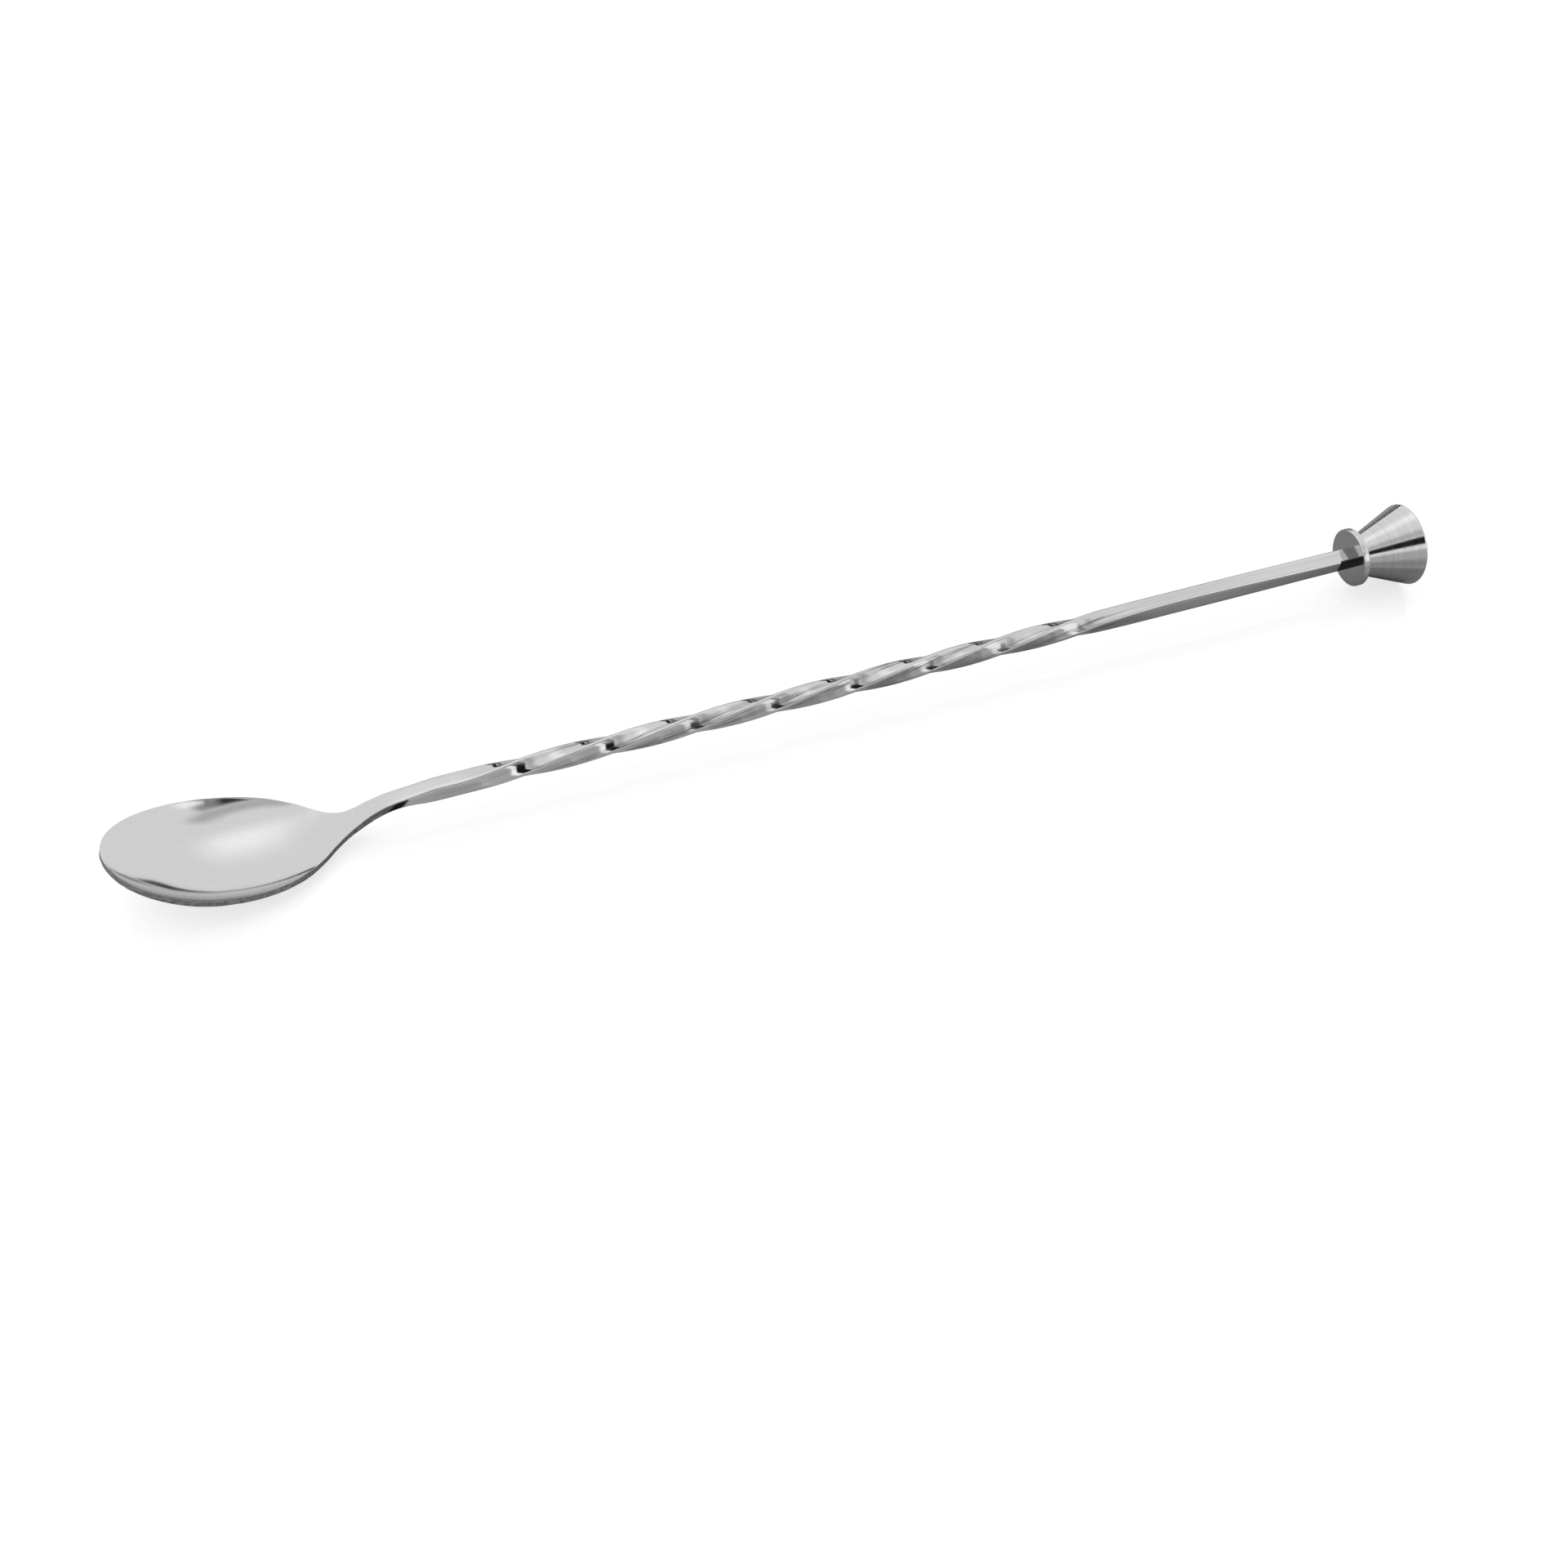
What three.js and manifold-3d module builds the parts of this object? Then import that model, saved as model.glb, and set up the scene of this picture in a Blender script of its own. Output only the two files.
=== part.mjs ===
// Bar spoon: a pressed bowl welded to a twisted square bar, with a turned muddler head.
// Millimetres, +Z up. The spoon lies on the plane z = 0, bowl towards -X, head towards +X.
// X is counted from the point where the neck becomes the full square bar, and the finished
// group is moved so that the middle of the whole length is at x = 0.
import * as THREE from "three";
import { mergeVertices } from "three/addons/utils/BufferGeometryUtils.js";
import Module from "manifold-3d";

const wasm = await Module();
wasm.setup();

// ---- driving dimensions ------------------------------------------------------------------

const BAR_SIDE = 3.5; // square bar of the stem, across flats
const BAR_CORNER = 0.55; // rounding of the bar's long edges

const TIP_X = -63.7; // inner edge of the bowl at its tip
const WIDEST_X = -45; // where the bowl is widest
const BOWL_HALF_WIDTH = 12.65;
const TIP_ROUNDNESS = 1.9; // 2 makes the tip half of the outline an ellipse
const TIP_ROW_X = -60.6; // the tip's outline is one curved row between these half widths
const TIP_ROW_FADE = 17; // the rows straighten over this length
const FLAT_BLEND = [-30, -24]; // the sheet's edges turn upright over this stretch
const RIM_UPRIGHT = 0.55; // how far the ground rim leans back to upright
const RIM_POWER = 8; // how close to the rim that begins
const TIP_RIM = 2.5; // and at the tip, over this length
const SHEET = 1.15; // thickness of the pressed sheet
const HOLLOW_ROUND = 2; // power of the dished middle of the hollow
const HOLLOW_WALL = 5; // power of its steeper wall near the rim
const WALL_SHARE = 0.4; // how much of the depth the steeper wall takes

const WELD_START = -16; // the sheet ends here
const WELD_END = -14; // and the bar begins here
const BAR_START = -3.5; // the forged neck has become the full square bar here

const HEAD_X = 193; // front face of the head's collar
const COLLAR_RADIUS = 6.15;
const COLLAR_THICKNESS = 1.4;
const COLLAR_EDGE = 0.3; // rounding of the collar's two edges
const GROOVE_RADIUS = 4.25; // waist between the collar and the cone
const GROOVE_WIDTH = 0.9;
const GROOVE_DRAFT = 0.25; // how much wider the waist is at the collar than in its middle
const RIM_RADIUS = 8.7; // widest circle of the cone, which rests on the table
const RIM_EDGE = 0.6; // rounding of the cone's wide edge
const HEAD_LENGTH = 13.5;
const STEM_TILT = THREE.MathUtils.degToRad(0.4); // the head end lies a little higher

const SPIGOT_RADIUS = 1.2; // round end of the bar, inside the head
const SPIGOT_LENGTH = 8;
const SPIGOT_ROOT = 1; // how far the spigot starts inside the bar
const BORE_RADIUS = 1.6;
const BORE_DEPTH = 8.6;
const DRILL_POINT = 0.6; // height of the drill's conical end, in bore radii
const BRAZE_START = 0.3; // the braze begins this far below the collar's face
const BRAZE_GAP = 0.05; // clearance on each side of the braze ring
const SEAT_GAP = 0.02; // between the bar's shoulder and the collar

const STEM_STEPS = 150; // rings along the stem
const WELD_STEPS = 2; // rings along the weld
const ROUND_SIDES = 48; // sides of the turned head
const HIDDEN_SIDES = 24; // sides of the spigot and the braze ring
const COLLAR_ARC_STEPS = 4;
const RIM_ARC_STEPS = 7;
const NORMAL_STEP = 0.02; // for slopes of the upper surface
const INSIDE_OUTLINE = 0.999; // keeps those slopes off the outline itself
const BOWL_ROWS = 38;
const BOWL_COLUMNS = 18;

const CENTRE_X = 71.2265625; // middle of the whole length

// ---- lines that shape the bowl and the neck, as [x, value] -------------------------------

// Height of the rim, and of the neck's upper face after it.
const topLine = through([
  [TIP_X, 12.5], [-58, 10.2], [-52, 8.1], [-46, 6.4], [-40, 5.05], [-34, 3.95], [-29, 3.2],
  [-25.5, 3], [-22, 3.7], [-19, 5], [-16, 6.55], [-13.5, 7.45], [-11, 7.95], [-7.5, 8.4],
  [BAR_START, 8.99],
]);
// Half the width from the widest place to the bar.
const shoulderLine = through([
  [WIDEST_X, BOWL_HALF_WIDTH], [-41, 12.5], [-37, 11.85], [-33, 10.6], [-29, 8.5], [-26, 6.25],
  [-23.5, 4.25], [-21, 2.9], [-18, 2.2], [-14, 1.85], [-9, 1.77], [BAR_START, BAR_SIDE / 2],
]);
// Depth of the hollow below the rim, on the centre line.
const depthLine = through([
  [TIP_X, 0], [-61.8, 0.95], [-59, 2.15], [-56, 3.2], [-52.5, 4.05], [-48.5, 4.45], [-44, 4.3],
  [-38, 3.5], [-33, 2.4], [-29, 1.25], [-26, 0.35], [-23.5, 0], [-20, 0],
]);
// Thickness of the sheet, of the forged neck and of the bar.
const thicknessLine = through([
  [TIP_X, SHEET], [-26, SHEET], [-21, 1.25], [-17.5, 1.55], [-15, 1.8], [-11, 1.85], [-8.5, 2.2],
  [-5.5, 3.05], [BAR_START, BAR_SIDE],
]);
// Turn of the section in degrees: a left-hand twist of nearly two turns, made by hand, so
// its pace varies a little, and what is left of it dies out before the head.
const twistLine = through([
  [BAR_START, 0], [2, 0], [6, 10.5], [13, 47], [30.5, 137], [47.5, 227], [64, 317], [80.5, 407],
  [96.5, 497], [112, 587], [129, 677], [135, 705], [HEAD_X, 708],
]);

/** A smooth function of x through the given points. */
function through(points) {
  const xs = points.map((p) => p[0]);
  const values = points.map((p) => p[1]);
  const curve = new THREE.CubicInterpolant(xs, values, 1, new Float64Array(1));
  const last = points.length - 1;
  return (x) => curve.evaluate(THREE.MathUtils.clamp(x, xs[0], xs[last]))[0];
}

/** Height of the stem's axis: it rises by the tilt, and the cone's rim just reaches z = 0. */
function axisHeight(x) {
  const rimX = HEAD_X + HEAD_LENGTH - RIM_EDGE;
  return RIM_RADIUS * Math.cos(STEM_TILT) - (rimX - x) * Math.tan(STEM_TILT);
}

/** Half the width of the bowl, the neck or the bar at x. */
function halfWidth(x) {
  if (x >= WIDEST_X) return shoulderLine(x);
  const along = Math.min(1, (WIDEST_X - x) / (WIDEST_X - TIP_X));
  return BOWL_HALF_WIDTH * Math.sqrt(1 - along ** TIP_ROUNDNESS);
}

/** Where the tip's outline is, at a distance y from the centre line. */
function tipX(y) {
  const along = (1 - (y / BOWL_HALF_WIDTH) ** 2) ** (1 / TIP_ROUNDNESS);
  return WIDEST_X - along * (WIDEST_X - TIP_X);
}

/** Upper surface of the bowl and the neck. */
function upperSurface(x, y) {
  const width = halfWidth(x);
  const across = width > 0 ? Math.min(1, Math.abs(y) / width) : 0;
  const rise = (1 - WALL_SHARE) * across ** HOLLOW_ROUND + WALL_SHARE * across ** HOLLOW_WALL;
  return topLine(x) - depthLine(x) * (1 - rise);
}

/** Unit normal of the upper surface, by small steps that stay inside the outline. */
function upperNormal(x, y) {
  const step = NORMAL_STEP;
  const y0 = y * INSIDE_OUTLINE;
  const x0 = Math.max(x, TIP_X + 2 * step);
  const slopeX = (upperSurface(x0 + step, y0) - upperSurface(x0 - step, y0)) / (2 * step);
  const slopeY = (upperSurface(x0, y0 + step) - upperSurface(x0, y0 - step)) / (2 * step);
  return new THREE.Vector3(-slopeX, -slopeY, 1).normalize();
}

// ---- helpers -----------------------------------------------------------------------------

/** A closed manifold-3d solid from a three.js geometry. */
function solid(geometry) {
  const bare = geometry.clone();
  bare.deleteAttribute("normal");
  bare.deleteAttribute("uv");
  const merged = mergeVertices(bare, 1e-4);
  const mesh = new wasm.Mesh({
    numProp: 3,
    vertProperties: new Float32Array(merged.attributes.position.array),
    triVerts: new Uint32Array(merged.index.array),
  });
  return new wasm.Manifold(mesh);
}

/** A three.js geometry from a manifold-3d solid. */
function geometryOf(body) {
  const mesh = body.getMesh();
  const geometry = new THREE.BufferGeometry();
  geometry.setAttribute("position", new THREE.BufferAttribute(mesh.vertProperties, 3));
  geometry.setIndex(new THREE.BufferAttribute(mesh.triVerts, 1));
  geometry.computeVertexNormals();
  return geometry;
}

/** A named mesh with a polished or brushed steel material. */
function steelMesh(name, geometry, colour, roughness) {
  const material = new THREE.MeshStandardMaterial({ color: colour, roughness, metalness: 1 });
  const mesh = new THREE.Mesh(geometry, material);
  mesh.name = name;
  return mesh;
}

/** Moves every vertex of a geometry to the place that the function gives it. */
function reshape(geometry, place) {
  const position = geometry.attributes.position;
  const point = new THREE.Vector3();
  for (let i = 0; i < position.count; i++) {
    point.fromBufferAttribute(position, i);
    place(point);
    position.setXYZ(i, point.x, point.y, point.z);
  }
  return geometry;
}

// ---- bowl --------------------------------------------------------------------------------

/** The pressed bowl with the flat tail of sheet that the bar is welded to. */
function spoonBowl() {
  const tipHalfWidth = halfWidth(TIP_ROW_X);
  const upright = new THREE.Vector3(0, 0, 1);
  const box = new THREE.BoxGeometry(1, 2, 1, BOWL_ROWS, BOWL_COLUMNS, 1);
  reshape(box, (p) => {
    const rowX = THREE.MathUtils.lerp(TIP_ROW_X, WELD_START, p.x + 0.5);
    const fade = Math.max(0, 1 - (rowX - TIP_ROW_X) / TIP_ROW_FADE) ** 2;
    const x = rowX - (TIP_ROW_X - tipX(tipHalfWidth * Math.abs(p.y))) * fade;
    const y = halfWidth(rowX) * p.y;
    const flat = THREE.MathUtils.smoothstep(x, ...FLAT_BLEND);
    const tip = 1 - THREE.MathUtils.smoothstep(rowX, TIP_ROW_X, TIP_ROW_X + TIP_RIM);
    const rim = RIM_UPRIGHT * Math.max(Math.abs(p.y) ** RIM_POWER, tip);
    const normal = upperNormal(x, y).lerp(upright, flat).normalize();
    const lean = normal.clone().lerp(upright, rim).normalize();
    const below = p.z < 0 ? thicknessLine(x) / lean.dot(normal) : 0;
    p.set(x, y, upperSurface(x, y)).addScaledVector(lean, -below);
  });
  return steelMesh("spoon_bowl", geometryOf(solid(box)), 0xd2d3d3, 0.22);
}

// ---- stem --------------------------------------------------------------------------------

/** Cross-section of the bar: a square with rounded corners. */
function barSection() {
  const half = BAR_SIDE / 2;
  const inner = half - BAR_CORNER;
  const shape = new THREE.Shape();
  for (let corner = 0; corner < 4; corner++) {
    const start = (corner * Math.PI) / 2;
    const cx = inner * Math.sign(Math.cos(start + Math.PI / 4));
    const cy = inner * Math.sign(Math.sin(start + Math.PI / 4));
    shape.absarc(cx, cy, BAR_CORNER, start, start + Math.PI / 2, false);
  }
  shape.closePath();
  return shape;
}

/** A stretch of the stem from x0 to x1, forged flat at the neck and twisted in the middle. */
function stemStretch(x0, x1, steps) {
  const bar = new THREE.ExtrudeGeometry(barSection(), {
    depth: 1,
    steps,
    bevelEnabled: false,
    curveSegments: 1,
  });
  return reshape(bar, (p) => {
    const x = x0 + (x1 - x0) * p.z;
    const neck = x < BAR_START;
    const turn = THREE.MathUtils.degToRad(twistLine(x));
    const across = p.x * Math.cos(turn) + p.y * Math.sin(turn);
    const up = -p.x * Math.sin(turn) + p.y * Math.cos(turn);
    const wide = neck ? (2 * halfWidth(x)) / BAR_SIDE : 1;
    const high = neck ? thicknessLine(x) / BAR_SIDE : 1;
    const centre = neck ? topLine(x) - thicknessLine(x) / 2 : axisHeight(x);
    p.set(x, across * wide, centre + up * high);
  });
}

/** Turns a lathe piece from its own axis onto the stem's axis, starting at the collar's face. */
function ontoStem(geometry) {
  return geometry.rotateZ(-Math.PI / 2).rotateY(-STEM_TILT).translate(HEAD_X, 0, axisHeight(HEAD_X));
}

/** The square bar with its forged neck, its twist and the round spigot that enters the head. */
function twistedStem() {
  const bar = solid(stemStretch(WELD_END, HEAD_X - SEAT_GAP, STEM_STEPS));
  const length = SPIGOT_LENGTH + SPIGOT_ROOT;
  const spigot = new THREE.CylinderGeometry(SPIGOT_RADIUS, SPIGOT_RADIUS, length, HIDDEN_SIDES);
  spigot.translate(0, (SPIGOT_LENGTH - SPIGOT_ROOT) / 2, 0);
  return steelMesh("twisted_stem", geometryOf(bar.add(solid(ontoStem(spigot)))), 0xc9caca, 0.12);
}

/** Weld metal that joins the sheet to the bar, ground flush with both. */
function neckWeld() {
  const weld = solid(stemStretch(WELD_START, WELD_END, WELD_STEPS));
  return steelMesh("neck_weld", geometryOf(weld), 0xc2c2c0, 0.3);
}

// ---- head --------------------------------------------------------------------------------

/** Points of a rounded edge: a quarter circle or less, between two angles. */
function arc(centreR, centreY, radius, from, to, count) {
  const points = [];
  for (let i = 0; i <= count; i++) {
    const angle = from + ((to - from) * i) / count;
    points.push(new THREE.Vector2(centreR + radius * Math.cos(angle), centreY + radius * Math.sin(angle)));
  }
  return points;
}

/** Collar, waist and cone turned from one bar, with a blind bore for the spigot. */
function muddlerHead() {
  const quarter = Math.PI / 2;
  const collarEdgeR = COLLAR_RADIUS - COLLAR_EDGE;
  const grooveY = COLLAR_THICKNESS + GROOVE_WIDTH / 2;
  const coneFoot = new THREE.Vector2(GROOVE_RADIUS, COLLAR_THICKNESS + GROOVE_WIDTH);
  const rimY = HEAD_LENGTH - RIM_EDGE;
  const coneSlope = Math.atan2(RIM_RADIUS - RIM_EDGE - coneFoot.x, rimY - coneFoot.y);
  const profile = [
    new THREE.Vector2(0, BORE_DEPTH + DRILL_POINT * BORE_RADIUS),
    new THREE.Vector2(BORE_RADIUS, BORE_DEPTH),
    new THREE.Vector2(BORE_RADIUS, 0),
    ...arc(collarEdgeR, COLLAR_EDGE, COLLAR_EDGE, -quarter, 0, COLLAR_ARC_STEPS),
    ...arc(collarEdgeR, COLLAR_THICKNESS - COLLAR_EDGE, COLLAR_EDGE, 0, quarter, COLLAR_ARC_STEPS),
    new THREE.Vector2(GROOVE_RADIUS + GROOVE_DRAFT, COLLAR_THICKNESS),
    new THREE.Vector2(GROOVE_RADIUS, grooveY),
    coneFoot,
    ...arc(RIM_RADIUS - RIM_EDGE, rimY, RIM_EDGE, -coneSlope, quarter, RIM_ARC_STEPS),
    new THREE.Vector2(0, HEAD_LENGTH),
  ];
  const head = ontoStem(new THREE.LatheGeometry(profile, ROUND_SIDES));
  return steelMesh("muddler_head", geometryOf(solid(head)), 0xb9baba, 0.2);
}

/** Braze metal that fills the space between the spigot and the bore. */
function headBraze() {
  const inner = SPIGOT_RADIUS + BRAZE_GAP;
  const outer = BORE_RADIUS - BRAZE_GAP;
  const profile = [
    new THREE.Vector2(inner, BRAZE_START),
    new THREE.Vector2(outer, BRAZE_START),
    new THREE.Vector2(outer, SPIGOT_LENGTH),
    new THREE.Vector2(inner, SPIGOT_LENGTH),
    new THREE.Vector2(inner, BRAZE_START),
  ];
  const ring = ontoStem(new THREE.LatheGeometry(profile, HIDDEN_SIDES));
  return steelMesh("head_braze", geometryOf(solid(ring)), 0xc8bd9a, 0.4);
}

// ---- assembly ----------------------------------------------------------------------------

const spoon = new THREE.Group();
spoon.add(spoonBowl(), neckWeld(), twistedStem(), muddlerHead(), headBraze());
spoon.position.x = -CENTRE_X;

export default spoon;
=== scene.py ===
"""Looks of a bar spoon: pressed bowl, twisted stem and turned head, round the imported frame."""

import logging
import math
from dataclasses import dataclass, field
from enum import Enum
from typing import Callable

import bmesh
import bpy
from mathutils import Matrix, Vector, noise


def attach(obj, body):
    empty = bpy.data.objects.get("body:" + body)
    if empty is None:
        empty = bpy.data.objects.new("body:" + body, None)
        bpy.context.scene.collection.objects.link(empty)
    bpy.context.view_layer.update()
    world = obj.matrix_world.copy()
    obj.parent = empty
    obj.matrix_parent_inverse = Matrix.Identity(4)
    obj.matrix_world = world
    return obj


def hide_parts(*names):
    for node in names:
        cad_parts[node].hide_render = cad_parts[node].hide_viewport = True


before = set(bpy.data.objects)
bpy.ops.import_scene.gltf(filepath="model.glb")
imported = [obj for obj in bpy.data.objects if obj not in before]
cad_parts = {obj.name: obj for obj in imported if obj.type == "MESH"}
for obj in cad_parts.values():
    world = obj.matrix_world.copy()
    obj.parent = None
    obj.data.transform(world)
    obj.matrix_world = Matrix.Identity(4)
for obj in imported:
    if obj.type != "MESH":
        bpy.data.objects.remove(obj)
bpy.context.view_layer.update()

LOG = logging.getLogger("bar_spoon")

BODY = "root"
MM = 0.001  # the sizes below are millimetres, the scene is in metres
CENTRE_X = 71.2265625  # middle of the whole length, counted from the start of the square bar

SKIN = "skin"  # point attribute: place on the untwisted bar, in millimetres
EDGE = "edge"  # point attribute: 1 on the bar's rounded corners, 0 on its flats
WALL_SHADE = "wall"  # point attribute: painted shade, 1 on the side walls of the sheet and neck, more where darkest
SHARP_ANGLE = math.radians(38.0)  # edges that turn more than this stay crisp
NORMAL_WEIGHT = 60  # how far the big faces lead the shading
SAME_PLACE = 0.001  # points nearer than this stand at the same x, in millimetres


def smooth_step(value: float, low: float, high: float) -> float:
    """Eases from 0 at low to 1 at high.

    Args:
        value: Where to read the curve.
        low: Start of the rise.
        high: End of the rise.

    Returns:
        A number from 0 to 1.
    """
    t = min(1.0, max(0.0, (value - low) / (high - low)))
    return t * t * (3.0 - 2.0 * t)


# ---- the spoon's own lines ----


@dataclass(frozen=True)
class Line:
    """A smooth line through a few (x, value) points, in millimetres."""

    points: tuple[tuple[float, float], ...]

    def at(self, x: float) -> float:
        """Reads the line.

        Args:
            x: Distance along the spoon.

        Returns:
            The line's value there, held at its ends.
        """
        pts = self.points
        x = min(max(x, pts[0][0]), pts[-1][0])
        i = next((k for k in range(1, len(pts) - 1) if x < pts[k][0]), len(pts) - 1)
        (x0, v0), (x1, v1) = pts[i - 1], pts[i]
        run = x1 - x0
        secant = (v1 - v0) / run
        before = self._secant(i - 2) if i > 1 else secant
        after = self._secant(i) if i < len(pts) - 1 else secant
        slope0, slope1 = (before + secant) / 2, (secant + after) / 2
        t = (x - x0) / run
        return (
            v0 * (2 * t**3 - 3 * t**2 + 1)
            + slope0 * run * (t**3 - 2 * t**2 + t)
            + v1 * (3 * t**2 - 2 * t**3)
            + slope1 * run * (t**3 - t**2)
        )

    def _secant(self, i: int) -> float:
        """Slope of the straight line from point i to the next one."""
        (x0, v0), (x1, v1) = self.points[i], self.points[i + 1]
        return (v1 - v0) / (x1 - x0)


@dataclass(frozen=True)
class Forging:
    """The lines that the bowl, the weld and the neck share."""

    tip_x: float = -63.7
    widest_x: float = -45.0
    bowl_half_width: float = 12.65
    tip_roundness: float = 1.9
    hollow_round: float = 2.0
    hollow_wall: float = 5.0
    wall_share: float = 0.4
    weld_start: float = -16.0
    weld_end: float = -14.0
    bar_start: float = -3.5
    bar_side: float = 3.5
    bar_corner: float = 0.55
    sheet_corner: float = 0.22
    head_x: float = 193.0
    head_length: float = 13.5
    rim_radius: float = 8.7
    rim_edge: float = 0.6
    tilt: float = math.radians(0.4)
    wall_end: float = -9.2
    top: Line = Line((
        (-63.7, 12.5), (-58, 10.2), (-52, 8.1), (-46, 6.4), (-40, 5.05), (-34, 3.95), (-29, 3.2),
        (-25.5, 3.0), (-22, 3.7), (-19, 5.0), (-16, 6.55), (-13.5, 7.45), (-11, 7.95), (-7.5, 8.4),
        (-3.5, 8.99),
    ))
    shoulder: Line = Line((
        (-45, 12.65), (-41, 12.5), (-37, 11.85), (-33, 10.6), (-29, 8.5), (-26, 6.25), (-23.5, 4.25),
        (-21, 2.9), (-18, 2.2), (-14, 1.85), (-9, 1.77), (-3.5, 1.75),
    ))
    depth: Line = Line((
        (-63.7, 0.0), (-61.8, 0.95), (-59, 2.15), (-56, 3.2), (-52.5, 4.05), (-48.5, 4.45), (-44, 4.3),
        (-38, 3.5), (-33, 2.4), (-29, 1.25), (-26, 0.35), (-23.5, 0.0), (-20, 0.0),
    ))
    thickness: Line = Line((
        (-63.7, 1.15), (-26, 1.15), (-21, 1.25), (-17.5, 1.55), (-15, 1.8), (-11, 1.85), (-8.5, 2.2),
        (-5.5, 3.05), (-3.5, 3.5),
    ))
    twist: Line = Line((
        (-3.5, 0.0), (2, 0.0), (6, 10.5), (13, 47.0), (30.5, 137.0), (47.5, 227.0), (64, 317.0),
        (80.5, 407.0), (96.5, 497.0), (112, 587.0), (129, 677.0), (135, 705.0), (193, 708.0),
    ))

    def axis_height(self, x: float) -> float:
        """Height of the stem's axis above the table at x."""
        rim_x = self.head_x + self.head_length - self.rim_edge
        return self.rim_radius * math.cos(self.tilt) - (rim_x - x) * math.tan(self.tilt)

    def half_width(self, x: float) -> float:
        """Half the width of the bowl or the neck.

        Args:
            x: Distance along the spoon.

        Returns:
            Half the width in millimetres.
        """
        if x >= self.widest_x:
            return self.shoulder.at(x)
        along = min(1.0, (self.widest_x - x) / (self.widest_x - self.tip_x))
        return self.bowl_half_width * math.sqrt(1.0 - along**self.tip_roundness)

    def tip_edge(self, y: float) -> float:
        """X of the tip's outline at a distance y from the centre line."""
        along = (1.0 - (y / self.bowl_half_width) ** 2) ** (1.0 / self.tip_roundness)
        return self.widest_x - along * (self.widest_x - self.tip_x)

    def surface(self, x: float, y: float) -> float:
        """Height of the upper surface of the bowl and its tail.

        Args:
            x: Distance along the spoon.
            y: Distance from the centre line.

        Returns:
            Height above the table in millimetres.
        """
        width = self.half_width(x)
        across = min(1.0, abs(y) / width) if width > 0 else 0.0
        rise = (1 - self.wall_share) * across**self.hollow_round
        rise += self.wall_share * across**self.hollow_wall
        return self.top.at(x) - self.depth.at(x) * (1.0 - rise)

    def surface_normal(self, x: float, y: float, step: float = 0.02, inside: float = 0.999) -> Vector:
        """Unit normal of the upper surface.

        Args:
            x: Distance along the spoon.
            y: Distance from the centre line.
            step: How far apart the surface is read for its slopes.
            inside: Share of y that is read, so that the slopes stay within the rim.

        Returns:
            The normal, pointing up.
        """
        y_in = y * inside
        x_in = max(x, self.tip_x + 2 * step)
        slope_x = (self.surface(x_in + step, y_in) - self.surface(x_in - step, y_in)) / (2 * step)
        slope_y = (self.surface(x_in, y_in + step) - self.surface(x_in, y_in - step)) / (2 * step)
        return Vector((-slope_x, -slope_y, 1.0)).normalized()


FORGING = Forging()


# ---- meshes ----


def link_new(name: str, data: bpy.types.ID) -> bpy.types.Object:
    """Makes an object that holds the data and links it to the scene."""
    made = bpy.data.objects.new(name, data)
    bpy.context.scene.collection.objects.link(made)
    return made


def finish_piece(
    bm: bmesh.types.BMesh, name: str, material: bpy.types.Material, node: str
) -> bpy.types.Object:
    """Turns a bmesh into a dressed, smooth-shaded piece that stands for a CAD node.

    Args:
        bm: The mesh, in millimetres along the spoon. It is freed.
        name: Name of the object and its mesh.
        material: Its finish.
        node: The CAD node that it replaces.

    Returns:
        The object, linked to the scene.
    """
    shift = Matrix.Translation((-CENTRE_X * MM, 0.0, 0.0))
    bmesh.ops.transform(bm, matrix=shift @ Matrix.Scale(MM, 4), verts=bm.verts)
    bmesh.ops.recalc_face_normals(bm, faces=bm.faces)
    for face in bm.faces:
        face.smooth = True
    for edge in bm.edges:
        edge.smooth = edge.calc_face_angle(0.0) < SHARP_ANGLE
    mesh = bpy.data.meshes.new(name)
    bm.to_mesh(mesh)
    bm.free()
    mesh.materials.append(material)
    piece = link_new(name, mesh)
    weighted = piece.modifiers.new("even_normals", "WEIGHTED_NORMAL")
    weighted.mode = "FACE_AREA_WITH_ANGLE"
    weighted.weight = NORMAL_WEIGHT
    weighted.keep_sharp = True
    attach(piece, BODY)
    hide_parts(node)
    return piece


def bar_section(
    bm: bmesh.types.BMesh, x: float, forging: Forging, cuts: int = 3, corner_steps: int = 4
) -> list:
    """Makes the bar's rounded square section as one face that looks along X.

    Args:
        bm: Mesh to add it to.
        x: Where the section stands.
        forging: Sizes of the bar.
        cuts: Extra points on each flat.
        corner_steps: Segments of each rounded corner.

    Returns:
        The section's vertices, edges and faces.
    """
    half = forging.bar_side / 2
    made = bmesh.ops.create_grid(bm, x_segments=1, y_segments=1, size=half)
    bmesh.ops.rotate(bm, verts=made["verts"], matrix=Matrix.Rotation(math.radians(90), 3, "Y"))
    bmesh.ops.translate(bm, verts=made["verts"], vec=(x, 0.0, 0.0))
    bmesh.ops.bevel(
        bm, geom=made["verts"], offset=forging.bar_corner, offset_type="OFFSET", affect="VERTICES",
        segments=corner_steps, profile=0.5, material=-1,
    )
    flats = [e for e in bm.edges if e.calc_length() > half]
    bmesh.ops.subdivide_edges(bm, edges=flats, cuts=cuts)
    return list(bm.verts) + list(bm.edges) + list(bm.faces)


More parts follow.
